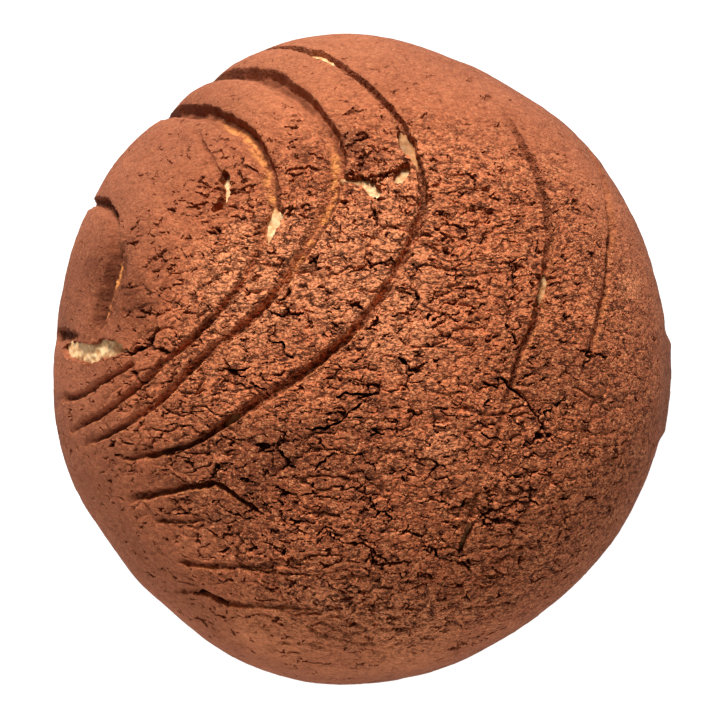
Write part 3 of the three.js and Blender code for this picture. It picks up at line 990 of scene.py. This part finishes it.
def paste_material():
    """Cocoa paste: painted lighter on top, grainy and creased where it is crumbly, with painted shade down
    the sides and in its creases, cracks and grooves.
    """
    material = new_material("cocoa_paste")
    g = Graph(material.node_tree)
    place = g.millimetres()
    stretched = g.stretch(place, PLATE_STRETCH)
    crumbly = g.minus(1.0, g.mask("calm"))
    tone = g.mask("tone")

    broad = g.noise(place, 14, 3)
    middle = g.noise(place, 3.2, 3)
    soft = g.noise(place, 1.1, 2)
    fine = g.noise(place, 0.8, 3, 0.6)
    grain = g.noise(place, 0.28, 2, 0.7)
    patchy = g.ramp(g.noise(place, 1.8, 3, 0.65), 0.4, 0.6, 0.0, 1.0)

    fine_share = g.ramp(crumbly, 0.0, 0.7, 0.25, 1.0)
    from_middle, light_draw, dark_draw = g.cells(g.warp(place, 0.6, 0.16), 0.42)
    light_grain = g.ramp(light_draw, 0.62, 1.0, 0.0, 0.45)
    dark_grain = g.ramp(dark_draw, 0.6, 1.0, 0.0, 0.45)
    loose = g.ramp(g.noise(place, 0.9, 2), 0.38, 0.58, 0.15, 1.0)
    hollow = g.times(g.ramp(from_middle, 0.42, 0.72, 0.0, 1.0), loose)
    wide_line, wide_crumb = creases(g, stretched, 2.6, 0.3, 0.46)
    thin_line, thin_crumb = creases(g, stretched, 1.1, 0.22, 0.44)
    wide_gap = g.times(wide_line, fine_share)
    thin_gap = g.times(thin_line, fine_share)
    pits = g.times(g.ramp(fine, 0.38, 0.29, 0.0, 1.0), fine_share)

    # Painted light and shade: lighter on the top, darker down the sides, darker still towards the rim
    rim = g.ramp(g.height(place), 28.0, 14.0, 0.0, 1.0)
    patch = g.ramp(broad, 0.3, 0.7, 0.0, 1.0)
    side = g.tint(g.blotches(patch, SHADED_SIDE_COLORS), rim, SHADED_RIM_COLOR)
    color = g.mix(g.mask("painted_top_light"), g.blotches(patch, LIT_TOP_COLORS), side)
    color = g.tint(color, g.ramp(middle, 0.4, 0.75, 0.0, 0.3), BLOTCH_COLOR)
    color = g.tint(color, g.ramp(soft, 0.5, 0.3, 0.0, 0.15), STAIN_COLOR)
    # Painted shade and painted light in patches, with a few real dark spots and dusty patches
    color = g.tint(color, g.ramp(tone, 0.0, -1.0, 0.0, 1.0), DARK_PATCH_AND_PAINTED_SHADE_COLOR)
    color = g.tint(color, g.ramp(tone, 0.0, 1.0, 0.0, 0.85), DUST_AND_PAINTED_LIGHT_COLOR)
    color = g.tint(color, g.times(light_grain, fine_share), LIGHT_GRAIN_COLOR)
    color = g.tint(color, g.times(dark_grain, fine_share), DARK_GRAIN_COLOR)
    # Painted shade in the hollows between grains, in pits and in the ragged creases
    color = g.tint(color, g.times(g.times(hollow, 0.65), fine_share), HOLLOW_SHADE_COLOR)
    color = g.tint(color, g.times(pits, 0.5), PIT_SHADE_COLOR)
    color = g.tint(color, g.times(thin_gap, 0.8), THIN_CREASE_SHADE_COLOR)
    color = g.tint(color, g.times(wide_gap, 0.85), WIDE_CREASE_SHADE_COLOR)
    # Painted shade in the scored grooves
    color = g.tint(color, g.times(g.mask("painted_groove_shade"), 0.8), GROOVE_SHADE_COLOR)
    mottled = g.times(patchy, g.ramp(soft, 0.3, 0.55, 0.4, 0.9))
    # Golden floor of the grooves, and a painted highlight along lit edges
    color = g.tint(color, g.times(g.mask("gold"), mottled), GOLD_AND_HIGHLIGHT_COLOR)
    # Painted shade in the cracks and fissures
    color = g.tint(color, g.ramp(g.mask("painted_crack_shade"), 0.1, 0.85, 0.0, 0.85), CRACK_SHADE_COLOR)

    dents = g.plus(g.times(hollow, 0.9), g.times(pits, 0.7))
    gaps = g.plus(thin_gap, g.times(wide_gap, 1.4))
    crumbs = g.plus(g.times(wide_crumb, 0.9), g.times(thin_crumb, 0.5))
    relief = g.plus(crumbs, g.minus(g.times(grain, 1.2), g.plus(dents, gaps)))
    normal = g.bump(relief, 0.2, g.ramp(crumbly, 0.0, 0.7, 0.42, 0.6))
    g.surface(color, normal, 0.95, Specular_IOR_Level=0.12)
    return material


def bread_material():
    """Bread: a mottled brown crust that darkens towards the base, and pale crumb in the tears."""
    material = new_material("bread_crumb")
    g = Graph(material.node_tree)
    place = g.millimetres()
    broad = g.noise(place, 12, 3)
    mottle = g.noise(place, 3.5, 4, 0.6)
    pores = g.noise(place, 1.1, 3, 0.6)
    crust = g.blotches(g.ramp(broad, 0.3, 0.7, 0.0, 1.0), CRUST_COLORS)
    crust = g.tint(crust, g.ramp(mottle, 0.45, 0.7, 0.0, 0.6), LIGHT_CRUST_COLOR)
    crust = g.tint(crust, g.ramp(mottle, 0.48, 0.3, 0.0, 0.6), DARK_CRUST_COLOR)
    crust = g.tint(crust, g.ramp(pores, 0.42, 0.3, 0.0, 0.5), PORE_COLOR)
    crust = g.tint(crust, g.ramp(g.height(place), 3.0, 0.0, 0.0, 0.75), BASE_COLOR)
    crumb = g.blotches(g.ramp(pores, 0.35, 0.65, 0.0, 1.0), CRUMB_COLORS)
    # Pale crumb in the tears; where it is less pale it is partly painted shade
    color = g.mix(g.ramp(g.mask("pale"), 0.0, 1.0, 0.0, 1.0), crust, crumb)
    normal = g.bump(g.plus(pores, g.times(mottle, 1.5)), 0.3, 0.5)
    g.surface(color, normal, 0.8, Specular_IOR_Level=0.3)
    return material


def floor_material():
    material = new_material("pale_floor")
    g = Graph(material.node_tree)
    tone = g.noise(g.millimetres(), 60, 2)
    darker, lighter = [(grey, grey, grey, 1.0) for grey in FLOOR_TONES]
    color = g.mix(tone, darker, lighter)
    normal = g.bump(tone, 0.05, 0.1)
    g.surface(color, normal, 0.8, Emission_Color=(1, 1, 1, 1), Emission_Strength=FLOOR_GLOW)
    return material


# Stage


def make_floor():
    corners = [(-1, -1), (1, -1), (1, 1), (-1, 1)]
    points = np.array([(x * FLOOR_HALF, y * FLOOR_HALF, -FLOOR_GAP) for x, y in corners])
    floor = make_mesh("floor", points, np.array([(0, 1, 2), (0, 2, 3)]), {})
    floor.data.materials.append(floor_material())


def make_lamp(name, bearing, height, strength, spread):
    """A far soft lamp."""
    sun = bpy.data.lights.new(name, "SUN")
    sun.energy = strength
    sun.angle = math.radians(spread)
    lamp = bpy.data.objects.new(name, sun)
    lamp.rotation_euler = (0, math.radians(90 - height), math.radians(bearing))
    bpy.context.scene.collection.objects.link(lamp)


def make_light():
    """A soft key from the top of the picture, a weak fill from its foot, and walls paler than the ceiling."""
    for name, setting in LAMPS.items():
        make_lamp(name, *setting)
    world = bpy.data.worlds.new("studio")
    bpy.context.scene.world = world
    world.use_nodes = True
    g = Graph(world.node_tree)
    direction = g.node("ShaderNodeTexCoord").outputs["Generated"]
    tone = g.ramp(g.height(direction), 0.15, 0.6, WALL_LIGHT, CEILING_LIGHT)
    g.link(tone, world.node_tree.nodes["Background"].inputs["Color"])


def make_camera():
    """A camera that looks down on the bun, its lens worked out from the picture's scale."""
    tilt = math.radians(CAMERA_TILT)
    right = np.array([math.cos(tilt), 0, -math.sin(tilt)])
    away = np.array([math.sin(tilt), 0, math.cos(tilt)])
    target = np.array([0, 0, CAMERA_TARGET_HEIGHT]) + FRAME_SHIFT * right
    camera = bpy.data.cameras.new("camera")
    camera.sensor_width = SENSOR
    depth = CAMERA_DISTANCE - (GIRTH_HEIGHT - CAMERA_TARGET_HEIGHT)
    camera.lens = SENSOR * PIXELS_PER_MM * depth / PICTURE_SIDE
    camera.clip_start = 0.01
    seen = bpy.data.objects.new("camera", camera)
    seen.location = (target + CAMERA_DISTANCE * away) * MM
    seen.rotation_euler = (0, tilt, 0)
    bpy.context.scene.collection.objects.link(seen)
    bpy.context.scene.camera = seen


make_camera()
make_light()
make_floor()

topping = make_topping()
topping.data.materials.append(paste_material())
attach(topping, "root")
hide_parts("topping")

bun = make_bun()
bun.data.materials.append(bread_material())
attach(bun, "root")
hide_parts("bread")

bpy.context.scene.view_settings.view_transform = "Standard"
